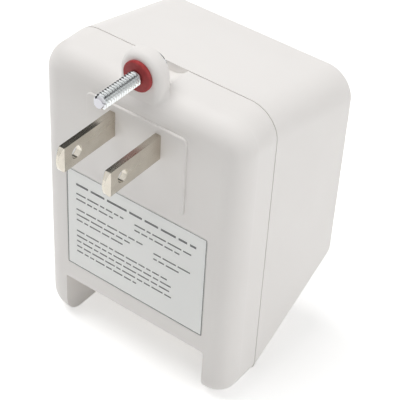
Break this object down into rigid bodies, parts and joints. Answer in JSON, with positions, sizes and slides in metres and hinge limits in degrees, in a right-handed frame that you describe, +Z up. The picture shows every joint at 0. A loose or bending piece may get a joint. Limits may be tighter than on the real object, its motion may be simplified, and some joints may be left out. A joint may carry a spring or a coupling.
{
  "type": "plug-in transformer",
  "caption": "Plug-in transformer: flat plug blades on a split moulded housing, a fixing ear with a captive screw, and screw terminals in a recess between two legs.",
  "frame": {"origin": "midway between the two blade roots, on the platform face that meets the outlet", "axes": "+Z up along the housing towards the fixing ear, +X right as seen from the wall, +Y from the wall into the body"},
  "size_m": [0.0568, 0.0638, 0.0899],
  "materials": {
    "housing_plastic": "off-white moulded, fine matt texture",
    "label_film": "pale grey printed film, left without words",
    "blade_plating": "nickel plated, satin",
    "screw_zinc": "zinc plated",
    "washer_fibre": "dark red vulcanised fibre",
    "lamination_steel": "varnished sheet edges",
    "bobbin_nylon": "natural nylon",
    "winding_copper": "enamelled wire, varnished",
    "winding_tape": "yellow film tape",
    "fuse_metal": "tinned",
    "sleeve_fibre": "woven sleeve",
    "lead_insulation": "smooth insulation",
    "terminal_plating": "bright brass"
  },
  "bodies": {
    "housing": {"wall_plate": "housing_plastic", "front_housing": "housing_plastic", "rating_label": "label_film", "blade_left": "blade_plating", "blade_right": "blade_plating", "core_e_stack": "lamination_steel", "core_i_stack": "lamination_steel", "bobbin": "bobbin_nylon", "primary_winding": "winding_copper", "secondary_winding": "winding_copper", "primary_tape": "winding_tape", "secondary_tape": "winding_tape", "thermal_fuse": "fuse_metal", "fuse_sleeve": "sleeve_fibre", "neutral_lead": "lead_insulation", "secondary_lead_left": "lead_insulation", "secondary_lead_right": "lead_insulation", "terminal_plate_left": "terminal_plating", "terminal_plate_right": "terminal_plating", "terminal_screw_left": "terminal_plating", "terminal_screw_right": "terminal_plating"},
    "fixing_screw": {"mounting_screw": "screw_zinc", "retaining_washer": "washer_fibre"}
  },
  "joints": [
    {"name": "mounting_screw_turn", "type": "hinge", "parent": "housing", "child": "fixing_screw", "pos_m": [0, 0.0051, 0.0151], "axis": [0, -1, 0], "continuous": true}
  ]
}
